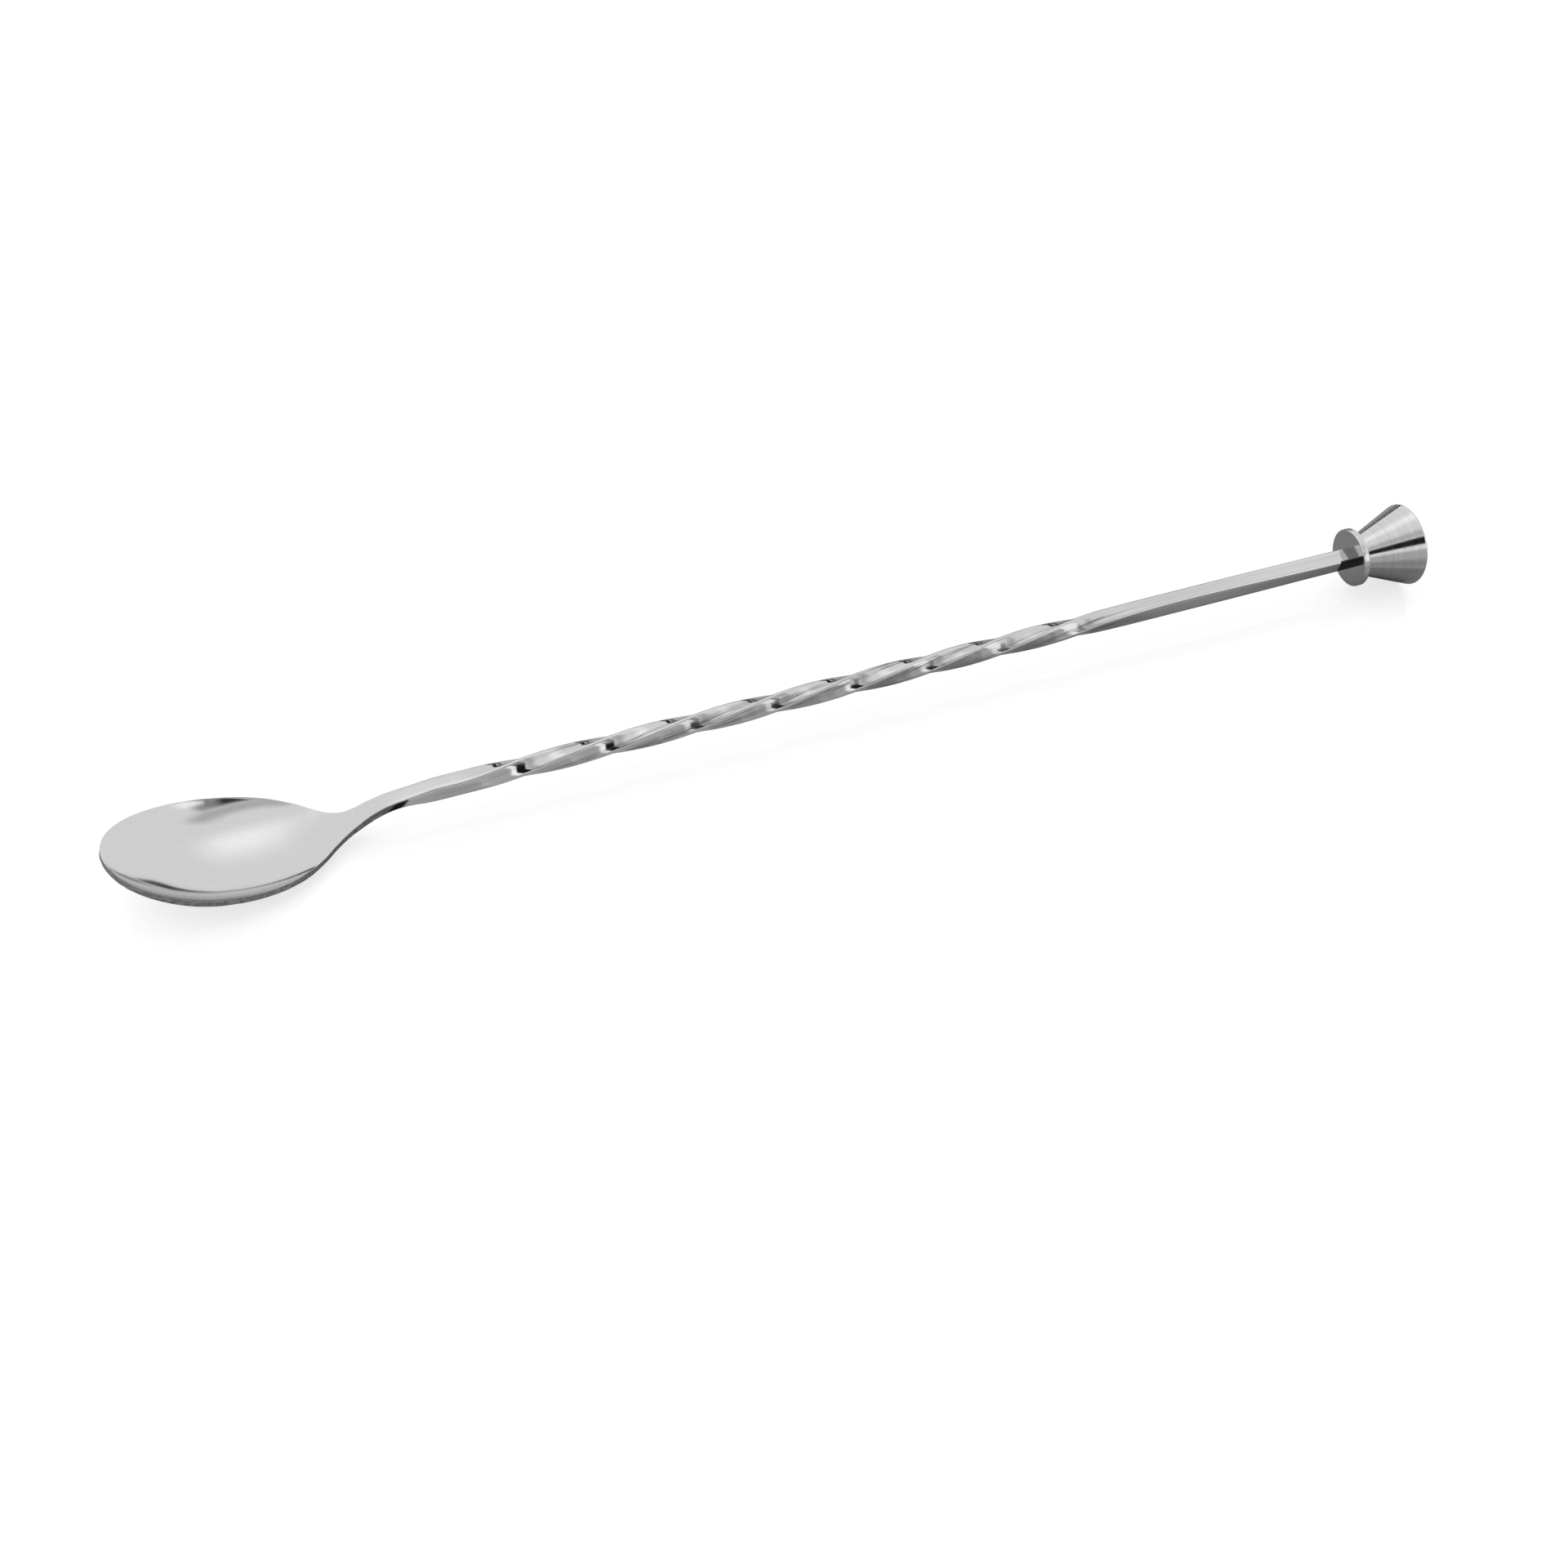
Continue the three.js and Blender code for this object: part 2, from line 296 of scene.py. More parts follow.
CORNER_RISE = (-0.1, 0.25)  # where a corner's mark rises, out from the end of the bar's flat
# The side walls' mark below is painted shade on the neck's side walls.
SIDE_RISE = 0.3  # where a side wall's mark starts to rise, likewise
MARK_LEAN = 0.5  # how far the wall's mark leans along the bar for each millimetre of height
MARK_WANDER = 0.5  # how far its end wanders, in millimetres
MARK_PACE = 1.7  # how quickly it wanders
DEEP_MARK = 0.35  # how much stronger the wall's painted shade is on its darkest stretch
DEEP_RISE = (-3.4, -2.8)  # where that stretch begins, from the wall's end
MARK_FADE = 0.5  # length over which the mark ends


def mark_bar(bm: bmesh.types.BMesh, shape: Forging) -> None:
    """Writes each point's place on the untwisted bar, its corners and the painted shade on the neck's
    side walls.

    Args:
        bm: A straight plain bar on the X axis.
        shape: Sizes of the bar.
    """
    skin = bm.verts.layers.float_vector[SKIN]
    edge, wall = bm.verts.layers.float[EDGE], bm.verts.layers.float[WALL_SHADE]
    inner = shape.bar_side / 2 - shape.bar_corner
    for vert in bm.verts:
        vert[skin] = vert.co
        x, y, z = vert.co
        vert[edge] = smooth_step(min(abs(y), abs(z)) - inner, *CORNER_RISE)
        side = smooth_step(abs(y), inner + SIDE_RISE, shape.bar_side / 2)
        wander = MARK_WANDER * noise.noise(Vector((x, 0.0, z)) * MARK_PACE)
        past_end = x - MARK_LEAN * z + wander - shape.wall_end
        deep = 1.0 + DEEP_MARK * smooth_step(past_end, *DEEP_RISE)
        # painted shade on the neck's side walls, leaning with height and deepest on their darkest
        # stretch
        vert[wall] = side * deep * (1.0 - smooth_step(past_end, -MARK_FADE, 0.0))


def plain_bar(
    start: float, end: float, rings: int, shape: Forging
) -> tuple[bmesh.types.BMesh, list]:
    """Makes a straight plain bar on the X axis, with its marks.

    Args:
        start: Where it starts.
        end: Where it ends.
        rings: Number of steps along it.
        shape: Sizes of the bar.

    Returns:
        The mesh, and the geometry of its last section.
    """
    bm = bmesh.new()
    bm.verts.layers.float_vector.new(SKIN)
    for name in (EDGE, WALL_SHADE):
        bm.verts.layers.float.new(name)
    made = bmesh.ops.spin(
        bm, geom=bar_section(bm, start, shape), cent=(0.0, 0.0, 0.0), axis=(1.0, 0.0, 0.0),
        dvec=((end - start) / rings, 0.0, 0.0), angle=0.0, steps=rings, use_merge=False,
        use_duplicate=False,
    )
    mark_bar(bm, shape)
    return bm, made["geom_last"]


def shape_neck(x: float, y: float, z: float, forging: Forging) -> Vector:
    """Presses a point of the plain square bar into the forged neck.

    Args:
        x: Distance along the spoon.
        y: Across the plain bar.
        z: Up from the plain bar's axis.
        forging: The neck's lines.

    Returns:
        The point's place in the neck.
    """
    half = forging.bar_side / 2
    inner = half - forging.bar_corner
    core_y, core_z = min(inner, max(-inner, y)), min(inner, max(-inner, z))
    out_y, out_z = (y - core_y) / forging.bar_corner, (z - core_z) / forging.bar_corner
    blend = smooth_step(x, forging.weld_start, forging.bar_start)
    corner = forging.sheet_corner + (forging.bar_corner - forging.sheet_corner) * blend
    high, wide = forging.thickness.at(x) / 2, forging.half_width(x)
    return Vector((
        x,
        core_y / inner * (wide - corner) + out_y * corner,
        forging.top.at(x) - high + core_z / inner * (high - corner) + out_z * corner,
    ))


# ---- shader groups ----


class Graph:
    """Adds nodes to one node tree and joins them."""

    def __init__(self, tree: bpy.types.NodeTree) -> None:
        """Keeps the tree."""
        self.tree = tree

    def add(self, kind: str, inputs: dict | None = None, **settings: object) -> bpy.types.Node:
        """Adds a node.

        Args:
            kind: The node's type without the "ShaderNode" in front.
            inputs: Input name or number to a value, or to a socket to join to it.
            settings: Properties of the node.

        Returns:
            The node.
        """
        node = self.tree.nodes.new("ShaderNode" + kind)
        for name, value in settings.items():
            setattr(node, name, value)
        self.feed(node, inputs or {})
        return node

    def feed(self, node: bpy.types.Node, inputs: dict) -> None:
        """Gives a node its inputs.

        Args:
            node: The node.
            inputs: Input name or number to a value, or to a socket to join to it.
        """
        for key, value in inputs.items():
            if isinstance(value, bpy.types.NodeSocket):
                self.tree.links.new(value, node.inputs[key])
            else:
                node.inputs[key].default_value = value

    def math(self, operation: str, *values: object) -> bpy.types.NodeSocket:
        """One sum of up to three values or sockets, not clamped."""
        return self.add("Math", dict(enumerate(values)), operation=operation).outputs[0]

    def speckle(
        self, place: bpy.types.NodeSocket, scale: object, detail: float, roughness: float = 0.5
    ) -> bpy.types.NodeSocket:
        """Noise from 0 to 1.

        Args:
            place: Vector that it is read at.
            scale: A number or a socket, larger for smaller specks.
            detail: How many finer layers it has.
            roughness: How strong the finer layers are.

        Returns:
            The noise's socket.
        """
        inputs = {"Vector": place, "Scale": scale, "Detail": detail, "Roughness": roughness}
        return self.add("TexNoise", inputs).outputs["Fac"]

    def remap(
        self, value: bpy.types.NodeSocket, low: float, high: float,
        to_low: float = 0.0, to_high: float = 1.0,
    ) -> bpy.types.NodeSocket:
        """Maps a range smoothly onto another.

        Args:
            value: Socket to map.
            low: Value that becomes to_low.
            high: Value that becomes to_high.
            to_low: Result at low.
            to_high: Result at high.

        Returns:
            The mapped socket.
        """
        ends = {"From Min": low, "From Max": high, "To Min": to_low, "To Max": to_high}
        node = self.add("MapRange", {"Value": value} | ends, interpolation_type="SMOOTHSTEP")
        return node.outputs["Result"]

    def use(self, group: bpy.types.NodeTree, inputs: dict) -> bpy.types.Node:
        """Places a group in this tree, with a value or a socket for each input."""
        return self.add("Group", inputs, node_tree=group)


def open_material(name: str) -> tuple[bpy.types.Material, Graph, bpy.types.Node]:
    """Starts a node material.

    Args:
        name: Name of the material.

    Returns:
        The material, its graph and its Principled node.
    """
    material = bpy.data.materials.new(name)
    material.use_nodes = True
    return material, Graph(material.node_tree), material.node_tree.nodes["Principled BSDF"]


class Effect(Enum):
    """The shader groups that the finishes share."""

    BRUSH_LINES = "brush_lines"
    POLISH_WAVES = "polish_waves"
    HAIRLINES = "hairlines"
    BRAZE_SMUT = "braze_smut"
    EDGE_RUB = "edge_rub"


# Noise levels: where an effect starts to show, and where it is full.
STREAK_RANGE = (0.35, 0.68)
GROOVE_RANGE = (0.46, 0.6)
WORN_RANGE = (0.45, 0.57)
SCRATCH_RANGE = (0.66, 0.74)
RUB_RANGE = (0.3, 0.7)

RUB_STRENGTH = (0.6, 1.0)  # weakest and strongest rubbing of an edge
SCRATCH_LAYS = ((0.35, 0.16, 7.0), (-0.6, 0.22, 9.0))  # turn, scale along, scale across
SMUT_FRAY = 1.3  # how far the smut's end is frayed, in millimetres
SMUT_FRONT_END = (3.8, 4.0)  # how far before the collar the front face's smut ends
SMUT_FRONT_FACE = (-1.45, -1.2)  # y at which the front face gives way to the corner
SMUT_TOP_END = (2.0, 2.15)  # the same two for the top face
SMUT_TOP_FACE = (1.2, 1.45)
SMUT_TOP_DEPTH = 0.7  # the top face's smut against the front face's


def open_group(
    name: str, inputs: dict[str, tuple[str, object]], outputs: tuple[str, ...]
) -> tuple[Graph, bpy.types.Node, bpy.types.Node]:
    """Starts a shader node group.

    Args:
        name: Name of the group.
        inputs: Input name to its kind ("Float" or "Vector") and its value.
        outputs: Names of the outputs, all plain numbers.

    Returns:
        Its graph, its input node and its output node.
    """
    tree = bpy.data.node_groups.new(name, "ShaderNodeTree")
    for label, (kind, value) in inputs.items():
        socket = tree.interface.new_socket(label, in_out="INPUT", socket_type="NodeSocket" + kind)
        if value is not None:
            socket.default_value = value
    for label in outputs:
        tree.interface.new_socket(label, in_out="OUTPUT", socket_type="NodeSocketFloat")
    graph = Graph(tree)
    return graph, tree.nodes.new("NodeGroupInput"), tree.nodes.new("NodeGroupOutput")


def brush_lines() -> bpy.types.NodeTree:
    """Fine parallel lines left by a belt or a mop, long along the first axis of Vector.

    Returns:
        The group.
    """
    graph, given, result = open_group(
        Effect.BRUSH_LINES.value,
        {"Vector": ("Vector", None), "Length": ("Float", 6.0), "Pitch": ("Float", 0.12)},
        ("Height", "Streaks", "Scored"),
    )
    along = graph.math("DIVIDE", 1.0, given.outputs["Length"])
    across = graph.math("DIVIDE", 1.0, given.outputs["Pitch"])
    stretch = graph.add("CombineXYZ", {"X": along, "Y": across, "Z": across}).outputs["Vector"]
    scaled = graph.add("VectorMath", {0: given.outputs["Vector"], 1: stretch}, operation="MULTIPLY")
    place = scaled.outputs["Vector"]
    fine = graph.speckle(place, scale=1.0, detail=3.0, roughness=0.65)
    broad = graph.speckle(place, scale=0.22, detail=2.0)
    worn = graph.speckle(place, scale=0.07, detail=2.0, roughness=0.6)
    grooves = graph.math("MULTIPLY", graph.remap(fine, *GROOVE_RANGE), graph.remap(worn, *WORN_RANGE))
    streaks = graph.remap(broad, *STREAK_RANGE)
    graph.feed(result, {"Height": fine, "Streaks": streaks, "Scored": grooves})
    return graph.tree


def polish_waves() -> bpy.types.NodeTree:
    """The slight unevenness that hand polishing leaves in a bright face.

    Returns:
        The group.
    """
    graph, given, result = open_group(
        Effect.POLISH_WAVES.value, {"Vector": ("Vector", None), "Span": ("Float", 4.0)}, ("Height",)
    )
    scale = graph.math("DIVIDE", 1.0, given.outputs["Span"])
    wave = graph.speckle(given.outputs["Vector"], scale, detail=1.0, roughness=0.4)
    graph.feed(result, {"Height": wave})
    return graph.tree


def hairlines() -> bpy.types.NodeTree:
    """A few short scratches in two directions, as handling leaves them.

    Returns:
        The group.
    """
    graph, given, result = open_group(
        Effect.HAIRLINES.value, {"Vector": ("Vector", None), "Amount": ("Float", 0.5)}, ("Mask",)
    )
    masks = []
    for turn, long, thin in SCRATCH_LAYS:
        laid = {"Rotation": (0.0, 0.0, turn), "Scale": (long, thin, thin)}
        place = graph.add("Mapping", {"Vector": given.outputs["Vector"]} | laid).outputs["Vector"]
        specks = graph.speckle(place, scale=1.0, detail=1.0, roughness=0.3)
        masks.append(graph.remap(specks, *SCRATCH_RANGE))
    both = graph.math("MAXIMUM", *masks)
    graph.feed(result, {"Mask": graph.math("MULTIPLY", both, given.outputs["Amount"])})
    return graph.tree


def edge_rub() -> bpy.types.NodeTree:
    """Breaks up the edge attribute, so that an edge looks ground and handled.

    Returns:
        The group.
    """
    graph, given, result = open_group(
        Effect.EDGE_RUB.value,
        {"Edge": ("Float", 0.0), "Vector": ("Vector", None), "Grit": ("Float", 0.5)},
        ("Mask", "Height"),
    )
    edge = given.outputs["Edge"]
    specks = graph.speckle(given.outputs["Vector"], scale=2.5, detail=4.0, roughness=0.7)
    broken = graph.math("MULTIPLY", graph.remap(specks, *RUB_RANGE, *RUB_STRENGTH), edge)
    height = graph.math("MULTIPLY", graph.math("MULTIPLY", specks, edge), given.outputs["Grit"])
    graph.feed(result, {"Mask": broken, "Height": height})
    return graph.tree


def braze_smut() -> bpy.types.NodeTree:
    """Dark smut that brazing leaves on two faces of the bar, just before the collar.

    Returns:
        The group.
    """
    graph, given, result = open_group(
        Effect.BRAZE_SMUT.value, {"Vector": ("Vector", None), "At": ("Float", 0.0)}, ("Mask",)
    )
    parts = graph.add("SeparateXYZ", {"Vector": given.outputs["Vector"]})
    specks = graph.speckle(given.outputs["Vector"], scale=2.2, detail=3.0, roughness=0.7)
    before = graph.math("SUBTRACT", given.outputs["At"], parts.outputs["X"])
    before = graph.math("MULTIPLY_ADD", specks, SMUT_FRAY, before)
    front = graph.math(
        "MULTIPLY",
        graph.remap(before, *SMUT_FRONT_END, 1.0, 0.0),
        graph.remap(parts.outputs["Y"], *SMUT_FRONT_FACE, 1.0, 0.0),
    )
    top = graph.math(
        "MULTIPLY",
        graph.remap(before, *SMUT_TOP_END, SMUT_TOP_DEPTH, 0.0),
        graph.remap(parts.outputs["Z"], *SMUT_TOP_FACE),
    )
    graph.feed(result, {"Mask": graph.math("MAXIMUM", front, top)})
    return graph.tree


class Effects:
    """Builds each shared shader group once."""

    def __init__(self) -> None:
        """Makes all the groups."""
        makers: dict[Effect, Callable[[], bpy.types.NodeTree]] = {
            Effect.BRUSH_LINES: brush_lines,
            Effect.POLISH_WAVES: polish_waves,
            Effect.HAIRLINES: hairlines,
            Effect.EDGE_RUB: edge_rub,
            Effect.BRAZE_SMUT: braze_smut,
        }
        self.groups = {effect: make() for effect, make in makers.items()}

    def __getitem__(self, effect: Effect) -> bpy.types.NodeTree:
        """The group of one effect."""
        return self.groups[effect]


# ---- finishes ----

SCORED_SHADE = 0.75  # how much darker a fully scored place is
SCORED_ROUGHNESS = 0.2  # and how much rougher
SCORED_FADE = 5.0  # half the length over which the scoring comes and goes, in millimetres
WALL_STREAK = 0.7  # how much the streaks vary a side wall's tone
WALL_ROUGHNESS = 0.08  # how much rougher a side wall is
SATIN_CALM = 0.8  # how much of the bar's streaks the hand-ground neck loses
SATIN_ROUGHNESS = 0.08  # how much rougher the hand-ground neck is than the bar
SATIN_FADE = 2.5  # length over which the hand-ground neck gives way to the bar
SMUT_SHADE = 0.94  # how much darker the smut is than clean steel
COOL_CAST = 1.01  # blue against red and green in steel
SEAM_TURN = 0.6  # where round the head its marks start, in radians


class Lay(Enum):
    """Which way a finish's marks run."""

    LENGTHWISE = "lengthwise"
    SKIN = "skin"
    TURNED = "turned"


@dataclass(frozen=True)
class SteelFinish:
    """One way that the stainless steel is worked and polished.

    Tones are linear grey levels, lengths are millimetres. A finish with a satin end is hand-ground
    up to there, and scored only between its two scored places.
    """

    name: str
    lay: Lay
    tone: float
    dark_tone: float
    roughness: float
    streak_roughness: float
    brush_length: float
    brush_pitch: float
    brush_height: float
    wave_span: float
    wave_height: float
    scratch_amount: float
    scored: float
    edge_roughness: float = 0.02
    edge_tone: float = 0.66
    slant: float = 0.0
    # dark grey painted on the side walls as shade
    wall_shade_tone: float = 0.25
    satin_end: float | None = None
    smut_at: float | None = None
    scored_from: float = -1000.0
    scored_to: float = 1000.0

    def material(self, effects: Effects, forging: Forging) -> bpy.types.Material:
        """Builds the finish as a node material.

        Args:
            effects: The shared shader groups.
            forging: Sizes that a turned finish is centred on.

        Returns:
            The material.
        """
        material, graph, shader = open_material(self.name)
        place = self._place(graph, forging)
        lines = graph.use(
            effects[Effect.BRUSH_LINES],
            {"Vector": place, "Length": self.brush_length, "Pitch": self.brush_pitch},
        )
        waves = graph.use(effects[Effect.POLISH_WAVES], {"Vector": place, "Span": self.wave_span})
        scratches = graph.use(
            effects[Effect.HAIRLINES], {"Vector": place, "Amount": self.scratch_amount}
        )
        edge = graph.add("Attribute", attribute_name=EDGE).outputs["Fac"]
        rub = graph.use(effects[Effect.EDGE_RUB], {"Edge": edge, "Vector": place})

        streaks, rubbed = lines.outputs["Streaks"], rub.outputs["Mask"]
        scored = graph.math("MULTIPLY", lines.outputs["Scored"], self.scored)
        satin: bpy.types.NodeSocket | float = 0.0
        if self.satin_end is not None:
            x = graph.add("SeparateXYZ", {"Vector": place}).outputs["X"]
            starts = graph.remap(x, self.scored_from - SCORED_FADE, self.scored_from + SCORED_FADE)
            ends = graph.remap(x, self.scored_to - SCORED_FADE, self.scored_to + SCORED_FADE, 1.0, 0.0)
            scored = graph.math("MULTIPLY", scored, graph.math("MULTIPLY", starts, ends))
            satin = graph.remap(x, self.satin_end - SATIN_FADE, self.satin_end, 1.0, 0.0)
            calm = graph.math("MULTIPLY_ADD", satin, -SATIN_CALM, 1.0)
            streaks = graph.math("MULTIPLY", streaks, calm)
            scored = graph.math("MULTIPLY", scored, calm)

        tone = graph.math("MULTIPLY_ADD", streaks, self.dark_tone - self.tone, self.tone)
        tone = graph.math("MULTIPLY_ADD", graph.math("MULTIPLY", tone, scored), -SCORED_SHADE, tone)
        edge_shift = graph.math("MULTIPLY", graph.math("SUBTRACT", self.edge_tone, tone), rubbed)
        grey = graph.math("ADD", tone, edge_shift)
        # Painted shade: the side walls' grey is pulled down to the dark wall tone, with streaks.
        side = graph.add("Attribute", attribute_name=WALL_SHADE).outputs["Fac"]
        plain_wall_shade = self.wall_shade_tone * (1.0 - WALL_STREAK / 2)
        wall_shade_grey = graph.math("MULTIPLY_ADD", streaks, self.wall_shade_tone * WALL_STREAK, plain_wall_shade)
        grey = graph.math("MULTIPLY_ADD", graph.math("SUBTRACT", wall_shade_grey, grey), side, grey)
        if self.smut_at is not None:
            smut = graph.use(effects[Effect.BRAZE_SMUT], {"Vector": place, "At": self.smut_at})
            smutted = graph.math("MULTIPLY", smut.outputs["Mask"], grey)
            grey = graph.math("MULTIPLY_ADD", smutted, -SMUT_SHADE, grey)
        blue = graph.math("MULTIPLY", grey, COOL_CAST)
        colour = graph.add("CombineColor", {"Red": grey, "Green": grey, "Blue": blue})

        rough = graph.math("MULTIPLY_ADD", streaks, self.streak_roughness, self.roughness)
        for mask, more in (
            (scratches.outputs["Mask"], self.streak_roughness),
            (rubbed, self.edge_roughness),
            (scored, SCORED_ROUGHNESS),
            (side, WALL_ROUGHNESS),
            (satin, SATIN_ROUGHNESS),
        ):
            rough = graph.math("MULTIPLY_ADD", mask, more, rough)

        relief = graph.math("MULTIPLY", lines.outputs["Height"], self.brush_height)
        relief = graph.math("MULTIPLY_ADD", waves.outputs["Height"], self.wave_height, relief)
        relief = graph.math("MULTIPLY_ADD", rub.outputs["Height"], self.brush_height, relief)
        if self.satin_end is not None:
            relief = graph.math("MULTIPLY", relief, calm)
        bump = graph.add("Bump", {"Strength": 1.0, "Distance": MM, "Height": relief})
        graph.feed(shader, {
            "Metallic": 1.0, "Base Color": colour.outputs["Color"], "Roughness": rough,
            "Normal": bump.outputs["Normal"],
        })
        return material

    def _place(self, graph: Graph, forging: Forging) -> bpy.types.NodeSocket:
        """Millimetres on the piece, with the first axis along the marks.

        Args:
            graph: The material's graph.
            forging: Where the turned head's axis is.

        Returns:
            A vector socket.
        """
        if self.lay is Lay.SKIN:
            return graph.add("Attribute", attribute_name=SKIN).outputs["Vector"]
        in_mm = {"Vector": graph.add("TexCoord").outputs["Object"], "Scale": (1 / MM,) * 3}
        if self.lay is Lay.LENGTHWISE:
            return graph.add("Mapping", in_mm | {"Rotation": (0.0, 0.0, self.slant)}).outputs["Vector"]
        to_head = (CENTRE_X - forging.head_x, 0.0, -forging.axis_height(forging.head_x))
        centred = graph.add("Mapping", in_mm | {"Location": to_head})
        parts = graph.add("SeparateXYZ", {"Vector": centred.outputs["Vector"]})
        x, y = parts.outputs["X"], parts.outputs["Y"]
        height = graph.math("MULTIPLY_ADD", x, -math.tan(forging.tilt), parts.outputs["Z"])
        squares = graph.math("ADD", graph.math("POWER", y, 2.0), graph.math("POWER", height, 2.0))
        angle = graph.math("ARCTAN2", y, height)
        around = graph.math("COSINE", graph.math("ADD", angle, SEAM_TURN))
        turned = graph.add("CombineXYZ", {"X": around, "Y": x, "Z": graph.math("SQRT", squares)})
        return turned.outputs["Vector"]


@dataclass(frozen=True)
class BrazeFinish:
    """Dull silver filler metal, slightly grainy."""

    name: str = "braze_filler"
    light: tuple[float, float, float, float] = (0.62, 0.56, 0.42, 1.0)
    dark: tuple[float, float, float, float] = (0.42, 0.37, 0.26, 1.0)
    grain: float = 900.0
    roughness: float = 0.42

    def material(self) -> bpy.types.Material:
        """Builds the finish as a node material.

        Returns:
            The material.
        """
        material, graph, shader = open_material(self.name)
        specks = graph.speckle(graph.add("TexCoord").outputs["Object"], self.grain, detail=4.0)
        colour = graph.add("MixRGB", {"Fac": specks, "Color1": self.dark, "Color2": self.light})
        graph.feed(shader, {
            "Metallic": 1.0, "Roughness": self.roughness, "Base Color": colour.outputs["Color"],
        })
        return material


# ---- pieces ----


@dataclass
class Bowl:
    """The pressed bowl with its flat tail of sheet."""

    effects: Effects
    forging: Forging = FORGING
    rows: int = 170
    columns: int = 72
    first_row: float = -60.6
    fade_length: float = 17.0
    upright_from: float = -30.0
    upright_to: float = -24.0
    rim_upright: float = 0.55
    rim_power: float = 8.0
    tip_rim: float = 2.5
    # where the rim wall's painted shade is full and where it is gone, by how far a point's normal
    # points up
    mark_full: float = 0.35
    mark_none: float = 0.7
    edge_steps: int = 3
    finish: SteelFinish = field(default_factory=lambda: SteelFinish(
        name="bowl_satin_steel", lay=Lay.LENGTHWISE, tone=0.68, dark_tone=0.665, roughness=0.13,
        streak_roughness=0.01, brush_length=0.7, brush_pitch=0.09, brush_height=0.00014,
        wave_span=12.0, wave_height=0.001, scratch_amount=0.2, scored=0.02, slant=0.5,
    ))

    def build(self) -> bpy.types.Object:
        """Makes the bowl and dresses it.

        Returns:
            The bowl.
        """
        bm = bmesh.new()
        mark = bm.verts.layers.float.new(WALL_SHADE)
        bmesh.ops.create_grid(bm, x_segments=self.rows, y_segments=self.columns, size=1.0)
        upper = list(bm.faces)
        made = bmesh.ops.extrude_face_region(bm, geom=upper, use_keep_orig=True)
        lower = [v for v in made["geom"] if isinstance(v, bmesh.types.BMVert)]
        below = set(lower)
        for vert in bm.verts:
            vert.co = self._place(vert.co.x, vert.co.y, vert in below)
        bmesh.ops.recalc_face_normals(bm, faces=bm.faces)
        self._round_edges(bm, mark, below)
        steel = self.finish.material(self.effects, self.forging)
        return finish_piece(bm, "bowl", steel, "spoon_bowl")

    def _place(self, along: float, across: float, below: bool) -> Vector:
        """Place of one grid point.

        Args:
            along: From -1 at the tip to 1 at the weld.
            across: From -1 to 1 over the width.
            below: Whether the point is on the under face.

        Returns:
            The point, in millimetres along the spoon.
        """
        shape = self.forging
        row_x = self.first_row + (shape.weld_start - self.first_row) * (along + 1) / 2
        fade = max(0.0, 1 - (row_x - self.first_row) / self.fade_length) ** 2
        tip_half = shape.half_width(self.first_row)
        x = row_x - (self.first_row - shape.tip_edge(tip_half * abs(across))) * fade
        y = shape.half_width(row_x) * across
        point = Vector((x, y, shape.surface(x, y)))
        if below:
            upright = Vector((0.0, 0.0, 1.0))
            flat = smooth_step(x, self.upright_from, self.upright_to)
            tip = 1.0 - smooth_step(row_x, self.first_row, self.first_row + self.tip_rim)
            rim = self.rim_upright * max(abs(across) ** self.rim_power, tip)
            normal = upright
            if flat < 1:
                normal = shape.surface_normal(x, y).lerp(upright, flat).normalized()
            lean = normal.lerp(upright, rim).normalized()
            point -= lean * (shape.thickness.at(x) / lean.dot(normal))
        return point

    def _round_edges(
        self, bm: bmesh.types.BMesh, mark: bmesh.types.BMLayerItem, below: set[bmesh.types.BMVert]
    ) -> None:
        """Rounds the rim's two edges and marks the ground wall between them with painted shade and more
        roughness.

        Args:
            bm: The closed bowl, in millimetres.
            mark: Layer that takes the mark.
            below: Points of the under face.
        """
        end = self.forging.weld_start - SAME_PLACE
        wall = {f for f in bm.faces if 0 < len(below.intersection(f.verts)) < len(f.verts)}
        wall = {f for f in wall if f.calc_center_median().x < end}
        rim = [
            e for f in wall for e in f.edges
            if not wall.issuperset(e.link_faces) and min(v.co.x for v in e.verts) < end
        ]
        for face in wall:
            for vert in face.verts:
                vert[mark] = 1.0
        bmesh.ops.bevel(
            bm, geom=rim, offset=self.forging.sheet_corner, offset_type="OFFSET", affect="EDGES",
            segments=self.edge_steps, profile=0.5, clamp_overlap=True, material=-1,
        )
        bm.normal_update()
        for vert in bm.verts:
            # the painted shade leaves the points whose normals point up
            vert[mark] *= 1.0 - smooth_step(vert.normal.z, self.mark_full, self.mark_none)


@dataclass
class NeckWeld:
    """Weld metal between the bowl's tail and the bar, ground flush."""

    effects: Effects
    forging: Forging = FORGING
    rings: int = 10
    finish: SteelFinish = field(default_factory=lambda: SteelFinish(
        name="ground_weld_steel", lay=Lay.SKIN, tone=0.685, dark_tone=0.665, roughness=0.14,
        streak_roughness=0.02, brush_length=2.0, brush_pitch=0.12, brush_height=0.0003,
        wave_span=6.0, wave_height=0.002, scratch_amount=0.4, scored=0.06,
    ))

    def build(self) -> bpy.types.Object:
        """Makes the weld and dresses it.

        Returns:
            The weld.
        """
        shape = self.forging
        bm, _ = plain_bar(shape.weld_start, shape.weld_end, self.rings, shape)
        for vert in bm.verts:
            vert.co = shape_neck(*vert.co, shape)
        steel = self.finish.material(self.effects, shape)
        return finish_piece(bm, "neck_joint", steel, "neck_weld")


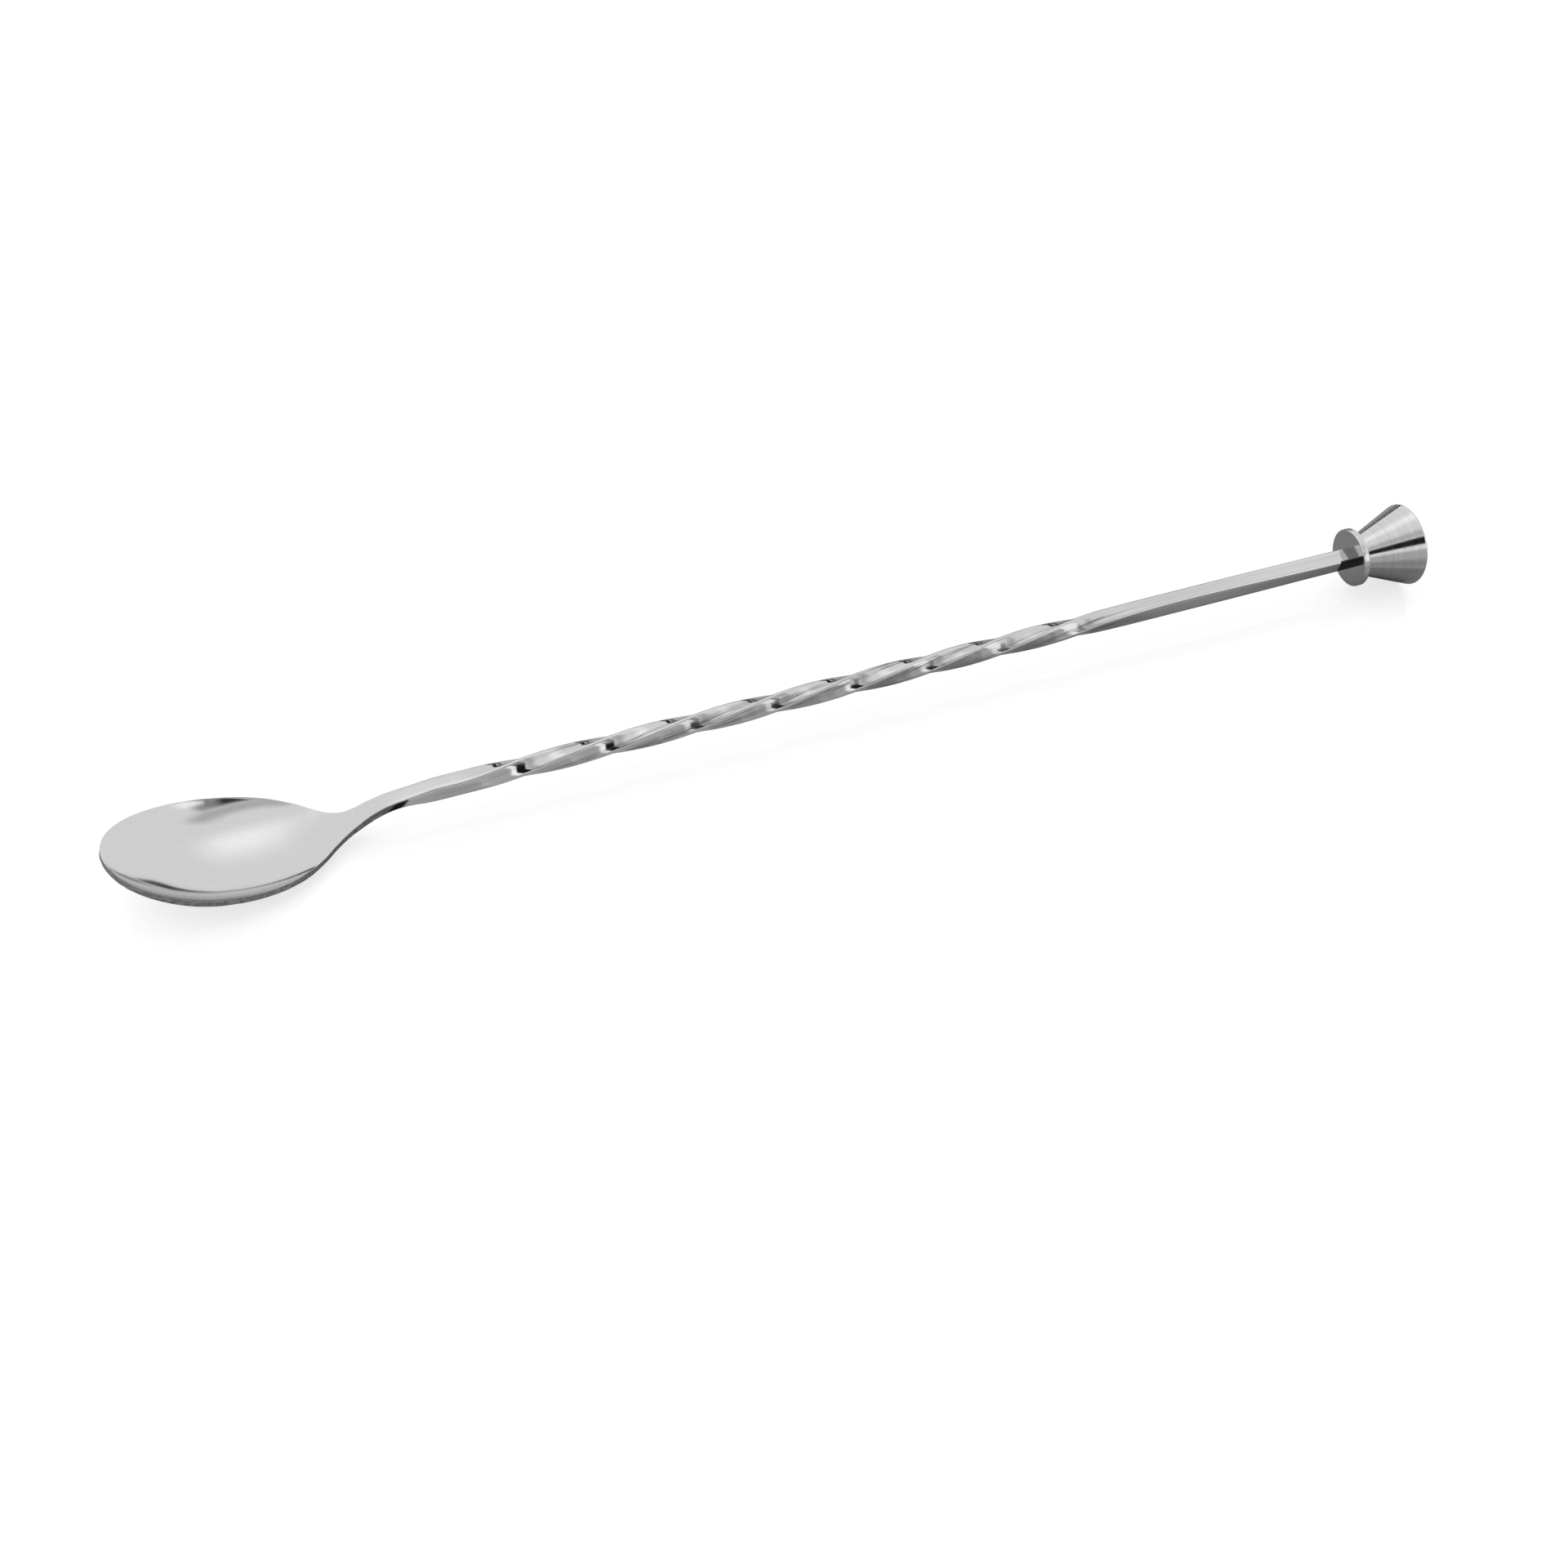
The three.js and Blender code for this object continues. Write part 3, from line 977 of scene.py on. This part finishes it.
@dataclass
class Stem:
    """The square bar: forged neck, plain start, twisted middle, plain end and hidden spigot."""

    effects: Effects
    forging: Forging = FORGING
    seat_gap: float = 0.02
    spigot_step: float = 0.3
    spigot_radius: float = 1.2
    spigot_length: float = 8.0
    rings: int = 1035
    finish: SteelFinish = field(default_factory=lambda: SteelFinish(
        name="stem_bright_steel", lay=Lay.SKIN, tone=0.69, dark_tone=0.6, roughness=0.05,
        streak_roughness=0.05, brush_length=9.0, brush_pitch=0.12, brush_height=0.0009,
        wave_span=3.0, wave_height=0.008, scratch_amount=0.5, scored=1.0, satin_end=-2.5,
        smut_at=193.0, scored_from=20.0, scored_to=140.0,
    ))

    def build(self) -> bpy.types.Object:
        """Makes the stem and dresses it.

        Returns:
            The stem.
        """
        shape = self.forging
        bm, last = plain_bar(shape.weld_end, shape.head_x - self.seat_gap, self.rings, shape)
        self._turn_spigot(bm, last)
        for vert in bm.verts:
            if vert.co.x < shape.bar_start:
                vert.co = shape_neck(*vert.co, shape)
            else:
                turn = -math.radians(shape.twist.at(vert.co.x))
                vert.co = Matrix.Rotation(turn, 3, "X") @ vert.co
                vert.co.z += shape.axis_height(vert.co.x)
        steel = self.finish.material(self.effects, shape)
        return finish_piece(bm, "stem", steel, "twisted_stem")

    def _turn_spigot(self, bm: bmesh.types.BMesh, last: list) -> None:
        """Turns the bar's end down to the round spigot inside the head.

        Args:
            bm: The straight bar.
            last: Geometry of its end section.
        """
        face = next(g for g in last if isinstance(g, bmesh.types.BMFace))
        bmesh.ops.inset_region(bm, faces=[face], thickness=self.spigot_step, use_even_offset=True)
        for vert in face.verts:
            radial = Vector((0.0, vert.co.y, vert.co.z)).normalized() * self.spigot_radius
            vert.co = Vector((vert.co.x, radial.y, radial.z))
        pushed = bmesh.ops.extrude_face_region(bm, geom=[face])
        tip = [g for g in pushed["geom"] if isinstance(g, bmesh.types.BMVert)]
        bmesh.ops.translate(bm, verts=tip, vec=(self.spigot_length, 0.0, 0.0))
        if face.is_valid:
            bmesh.ops.delete(bm, geom=[face], context="FACES_ONLY")


@dataclass
class MuddlerHead:
    """Collar, waist and cone turned in one piece."""

    effects: Effects
    forging: Forging = FORGING
    collar_radius: float = 6.15
    collar_thickness: float = 1.4
    collar_edge: float = 0.3
    groove_radius: float = 4.25
    groove_width: float = 0.9
    groove_draft: float = 0.25
    groove_edge: float = 0.08
    waist_edge: float = 0.12
    rim_extra: float = 0.12
    bore_radius: float = 1.6
    bore_depth: float = 8.6
    drill_point: float = 0.96
    sides: int = 180
    edge_steps: int = 6
    cone_rings: int = 10
    long_edge: float = 3.0
    merge_distance: float = 1e-4
    finish: SteelFinish = field(default_factory=lambda: SteelFinish(
        name="turned_head_steel", lay=Lay.TURNED, tone=0.7, dark_tone=0.64, roughness=0.09,
        streak_roughness=0.03, brush_length=0.5, brush_pitch=0.11, brush_height=0.0026,
        wave_span=0.8, wave_height=0.01, scratch_amount=0.2, scored=0.12,
    ))

    def build(self) -> bpy.types.Object:
        """Makes the head and dresses it.

        Returns:
            The head.
        """
        shape = self.forging
        bm = bmesh.new()
        self._profile(bm)
        bmesh.ops.spin(
            bm, geom=list(bm.verts) + list(bm.edges), cent=(0.0, 0.0, 0.0), axis=(1.0, 0.0, 0.0),
            dvec=(0.0, 0.0, 0.0), angle=math.tau, steps=self.sides, use_merge=True, use_duplicate=False,
        )
        bmesh.ops.remove_doubles(bm, verts=bm.verts, dist=self.merge_distance)
        turn = Matrix.Rotation(-shape.tilt, 4, "Y")
        place = Matrix.Translation((shape.head_x, 0.0, shape.axis_height(shape.head_x)))
        bmesh.ops.transform(bm, matrix=place @ turn, verts=bm.verts)
        steel = self.finish.material(self.effects, shape)
        return finish_piece(bm, "muddler", steel, "muddler_head")

    def _profile(self, bm: bmesh.types.BMesh) -> None:
        """Draws half of the head's section, from the bore's bottom to the middle of the flat end.

        Args:
            bm: Mesh that takes the line.
        """
        shape = self.forging
        foot = self.collar_thickness + self.groove_width
        corners = [
            (self.bore_depth + self.drill_point, 0.0, 0.0),
            (self.bore_depth, self.bore_radius, 0.0),
            (0.0, self.bore_radius, 0.0),
            (0.0, self.collar_radius, self.collar_edge),
            (self.collar_thickness, self.collar_radius, self.collar_edge),
            (self.collar_thickness, self.groove_radius + self.groove_draft, self.groove_edge),
            (foot - self.groove_width / 2, self.groove_radius, 0.0),
            (foot, self.groove_radius, self.waist_edge),
            (shape.head_length, shape.rim_radius + self.rim_extra, shape.rim_edge),
            (shape.head_length, 0.0, 0.0),
        ]
        verts = [bm.verts.new((x, 0.0, radius)) for x, radius, _ in corners]
        for pair in zip(verts, verts[1:]):
            bm.edges.new(pair)
        for x, radius, rounding in corners:
            if rounding:
                corner = min(bm.verts, key=lambda v: (v.co - Vector((x, 0.0, radius))).length)
                bmesh.ops.bevel(
                    bm, geom=[corner], offset=rounding, offset_type="OFFSET", affect="VERTICES",
                    segments=self.edge_steps, profile=0.5, material=-1,
                )
        long_edges = [e for e in bm.edges if e.calc_length() > self.long_edge]
        bmesh.ops.subdivide_edges(bm, edges=long_edges, cuts=self.cone_rings)


@dataclass
class Braze:
    """The filler ring in the head's bore, kept as the CAD makes it."""

    finish: BrazeFinish = BrazeFinish()

    def dress(self) -> bpy.types.Object:
        """Gives the carried-over ring its finish.

        Returns:
            The ring.
        """
        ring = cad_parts["head_braze"]
        ring.data.materials.clear()
        ring.data.materials.append(self.finish.material())
        return ring


# ---- studio ----


@dataclass(frozen=True)
class Patch:
    """A soft-edged patch of the studio's walls, in degrees, azimuth counted from +X towards +Y."""

    azimuth: float
    half_azimuth: float
    low: float
    high: float
    level: float
    soft: float

    def over(
        self,
        graph: Graph,
        azimuth: bpy.types.NodeSocket,
        elevation: bpy.types.NodeSocket,
        level: bpy.types.NodeSocket,
    ) -> bpy.types.NodeSocket:
        """Lays the patch over the walls behind it.

        Args:
            graph: The world's graph.
            azimuth: Azimuth of the direction, in degrees.
            elevation: Elevation of the direction, in degrees.
            level: Brightness of what lies behind.

        Returns:
            The brightness with the patch.
        """
        turned = graph.math("WRAP", graph.math("SUBTRACT", azimuth, self.azimuth), 180.0, -180.0)
        aside, soft = graph.math("ABSOLUTE", turned), self.soft / 2
        side = self.half_azimuth
        mask = graph.remap(aside, side - self.soft, side + self.soft, 1.0, 0.0)
        above = graph.remap(elevation, self.low - soft, self.low + soft)
        below = graph.remap(elevation, self.high - soft, self.high + soft, 1.0, 0.0)
        mask = graph.math("MULTIPLY", mask, graph.math("MULTIPLY", above, below))
        return graph.math("MULTIPLY_ADD", mask, graph.math("SUBTRACT", self.level, level), level)


@dataclass
class Studio:
    """Pale glossy table, a broad soft light, the room's dark parts and the camera."""

    table_radius: float = 1.6
    table_sides: int = 96
    table_tone: float = 0.27
    # the table's tone in the steel's reflections, painted darker towards +X as shade on the bar's right
    # front faces
    table_in_steel: tuple[float, float] = (0.42, 0.2)
    table_shade_fade: tuple[float, float] = (-0.04, 0.06)
    table_roughness: float = 0.07
    table_lift: float = 0.72
    camera_at: tuple[float, float, float] = (-0.093988, -0.239531, 0.276222)
    camera_to: tuple[float, float, float] = (-0.011421, -0.018203, 0.005)
    camera_roll: float = math.radians(1.2)
    lens: float = 43.25
    sensor_width: float = 36.0
    clip: tuple[float, float] = (0.01, 20.0)
    walls: float = 0.92
    backdrop: float = 1.0
    patches: tuple[Patch, ...] = (
        Patch(azimuth=85.0, half_azimuth=34.0, low=54.0, high=74.0, level=1.27, soft=26.0),
        Patch(azimuth=-90.0, half_azimuth=70.0, low=56.0, high=72.0, level=0.56, soft=14.0),
        Patch(azimuth=83.0, half_azimuth=25.0, low=1.2, high=9.2, level=0.0, soft=1.2),
        Patch(azimuth=-100.0, half_azimuth=65.0, low=-5.0, high=22.0, level=0.5, soft=8.0),
        Patch(azimuth=-63.0, half_azimuth=9.0, low=43.0, high=54.0, level=0.35, soft=4.0),
        Patch(azimuth=-56.5, half_azimuth=8.5, low=14.0, high=40.0, level=1.25, soft=4.0),
        Patch(azimuth=-84.0, half_azimuth=14.0, low=25.0, high=35.0, level=1.25, soft=4.0),
        Patch(azimuth=-95.0, half_azimuth=24.0, low=35.0, high=54.0, level=0.01, soft=4.0),
    )
    fill_power: float = 10.0
    fill_side: float = 1.8
    fill_at: tuple[float, float, float] = (-0.35, 0.45, 1.0)

    def build(self) -> None:
        """Makes the table, the light and the camera."""
        self._table()
        self._surroundings()
        self._fill()
        self._camera()
        bpy.context.scene.view_settings.view_transform = "Standard"

    def _table(self) -> None:
        """Makes the round table top, level with the spoon's lowest point, with painted shade in its
        reflections towards +X.
        """
        bm = bmesh.new()
        bmesh.ops.create_circle(bm, cap_ends=True, segments=self.table_sides, radius=self.table_radius)
        mesh = bpy.data.meshes.new("table")
        bm.to_mesh(mesh)
        bm.free()
        table = link_new("table", mesh)
        material, graph, shader = open_material("pale_table")
        path = graph.add("LightPath")
        along = graph.add("SeparateXYZ", {"Vector": graph.add("TexCoord").outputs["Object"]})
        # Painted shade: the table seen in the steel darkens from left to right along X.
        in_steel = graph.remap(along.outputs["X"], *self.table_shade_fade, *self.table_in_steel)
        change = graph.math("SUBTRACT", in_steel, self.table_tone)
        tone = graph.math("MULTIPLY_ADD", path.outputs["Is Glossy Ray"], change, self.table_tone)
        colour = graph.add("CombineColor", {"Red": tone, "Green": tone, "Blue": tone})
        lift = graph.math("MULTIPLY", path.outputs["Is Camera Ray"], self.table_lift)
        graph.feed(shader, {
            "Base Color": colour.outputs["Color"], "Roughness": self.table_roughness,
            "Emission Color": (1.0, 1.0, 1.0, 1.0), "Emission Strength": lift,
        })
        table.data.materials.append(material)

    def _surroundings(self) -> None:
        """Makes the pale walls with their bright and dark patches, and a pale backdrop."""
        world = bpy.data.worlds.new("studio")
        world.use_nodes = True
        bpy.context.scene.world = world
        graph = Graph(world.node_tree)
        parts = graph.add("SeparateXYZ", {"Vector": graph.add("TexCoord").outputs["Generated"]})
        azimuth = graph.math("DEGREES", graph.math("ARCTAN2", parts.outputs["Y"], parts.outputs["X"]))
        elevation = graph.math("DEGREES", graph.math("ARCSINE", parts.outputs["Z"]))
        level = graph.math("ADD", self.walls, 0.0)
        for patch in self.patches:
            level = patch.over(graph, azimuth, elevation, level)
        path = graph.add("LightPath")
        seen = graph.math("SUBTRACT", self.backdrop, level)
        level = graph.math("MULTIPLY_ADD", path.outputs["Is Camera Ray"], seen, level)
        colour = graph.add("CombineColor", {"Red": level, "Green": level, "Blue": level})
        graph.feed(world.node_tree.nodes["Background"], {"Color": colour.outputs["Color"]})

    def _fill(self) -> None:
        """Makes a soft light that brightens the table without showing in the steel."""
        data = bpy.data.lights.new("fill", "AREA")
        data.shape = "SQUARE"
        data.size = self.fill_side
        data.energy = self.fill_power
        fill = link_new("fill", data)
        fill.location = self.fill_at
        fill.rotation_mode = "QUATERNION"
        fill.rotation_quaternion = (-Vector(self.fill_at)).to_track_quat("-Z", "Y")
        fill.visible_glossy = False

    def _camera(self) -> None:
        """Makes the camera and hands it to the scene."""
        data = bpy.data.cameras.new("camera")
        data.lens = self.lens
        data.sensor_width = self.sensor_width
        data.clip_start, data.clip_end = self.clip
        camera = link_new("camera", data)
        position = Vector(self.camera_at)
        look = (Vector(self.camera_to) - position).to_track_quat("-Z", "Y").to_matrix().to_4x4()
        roll = Matrix.Rotation(self.camera_roll, 4, "Z")
        camera.matrix_world = Matrix.Translation(position) @ look @ roll
        bpy.context.scene.camera = camera


def main() -> None:
    """Builds the studio and the spoon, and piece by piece."""
    logging.basicConfig(level=logging.INFO, format="%(name)s: %(message)s")
    Studio().build()
    effects = Effects()
    for maker in (Bowl(effects), NeckWeld(effects), Stem(effects), MuddlerHead(effects)):
        piece = maker.build()
        LOG.info("%s: %d faces", piece.name, len(piece.data.polygons))
    LOG.info("%s: dressed", Braze().dress().name)
    bpy.context.view_layer.update()


if __name__ == "__main__":
    main()
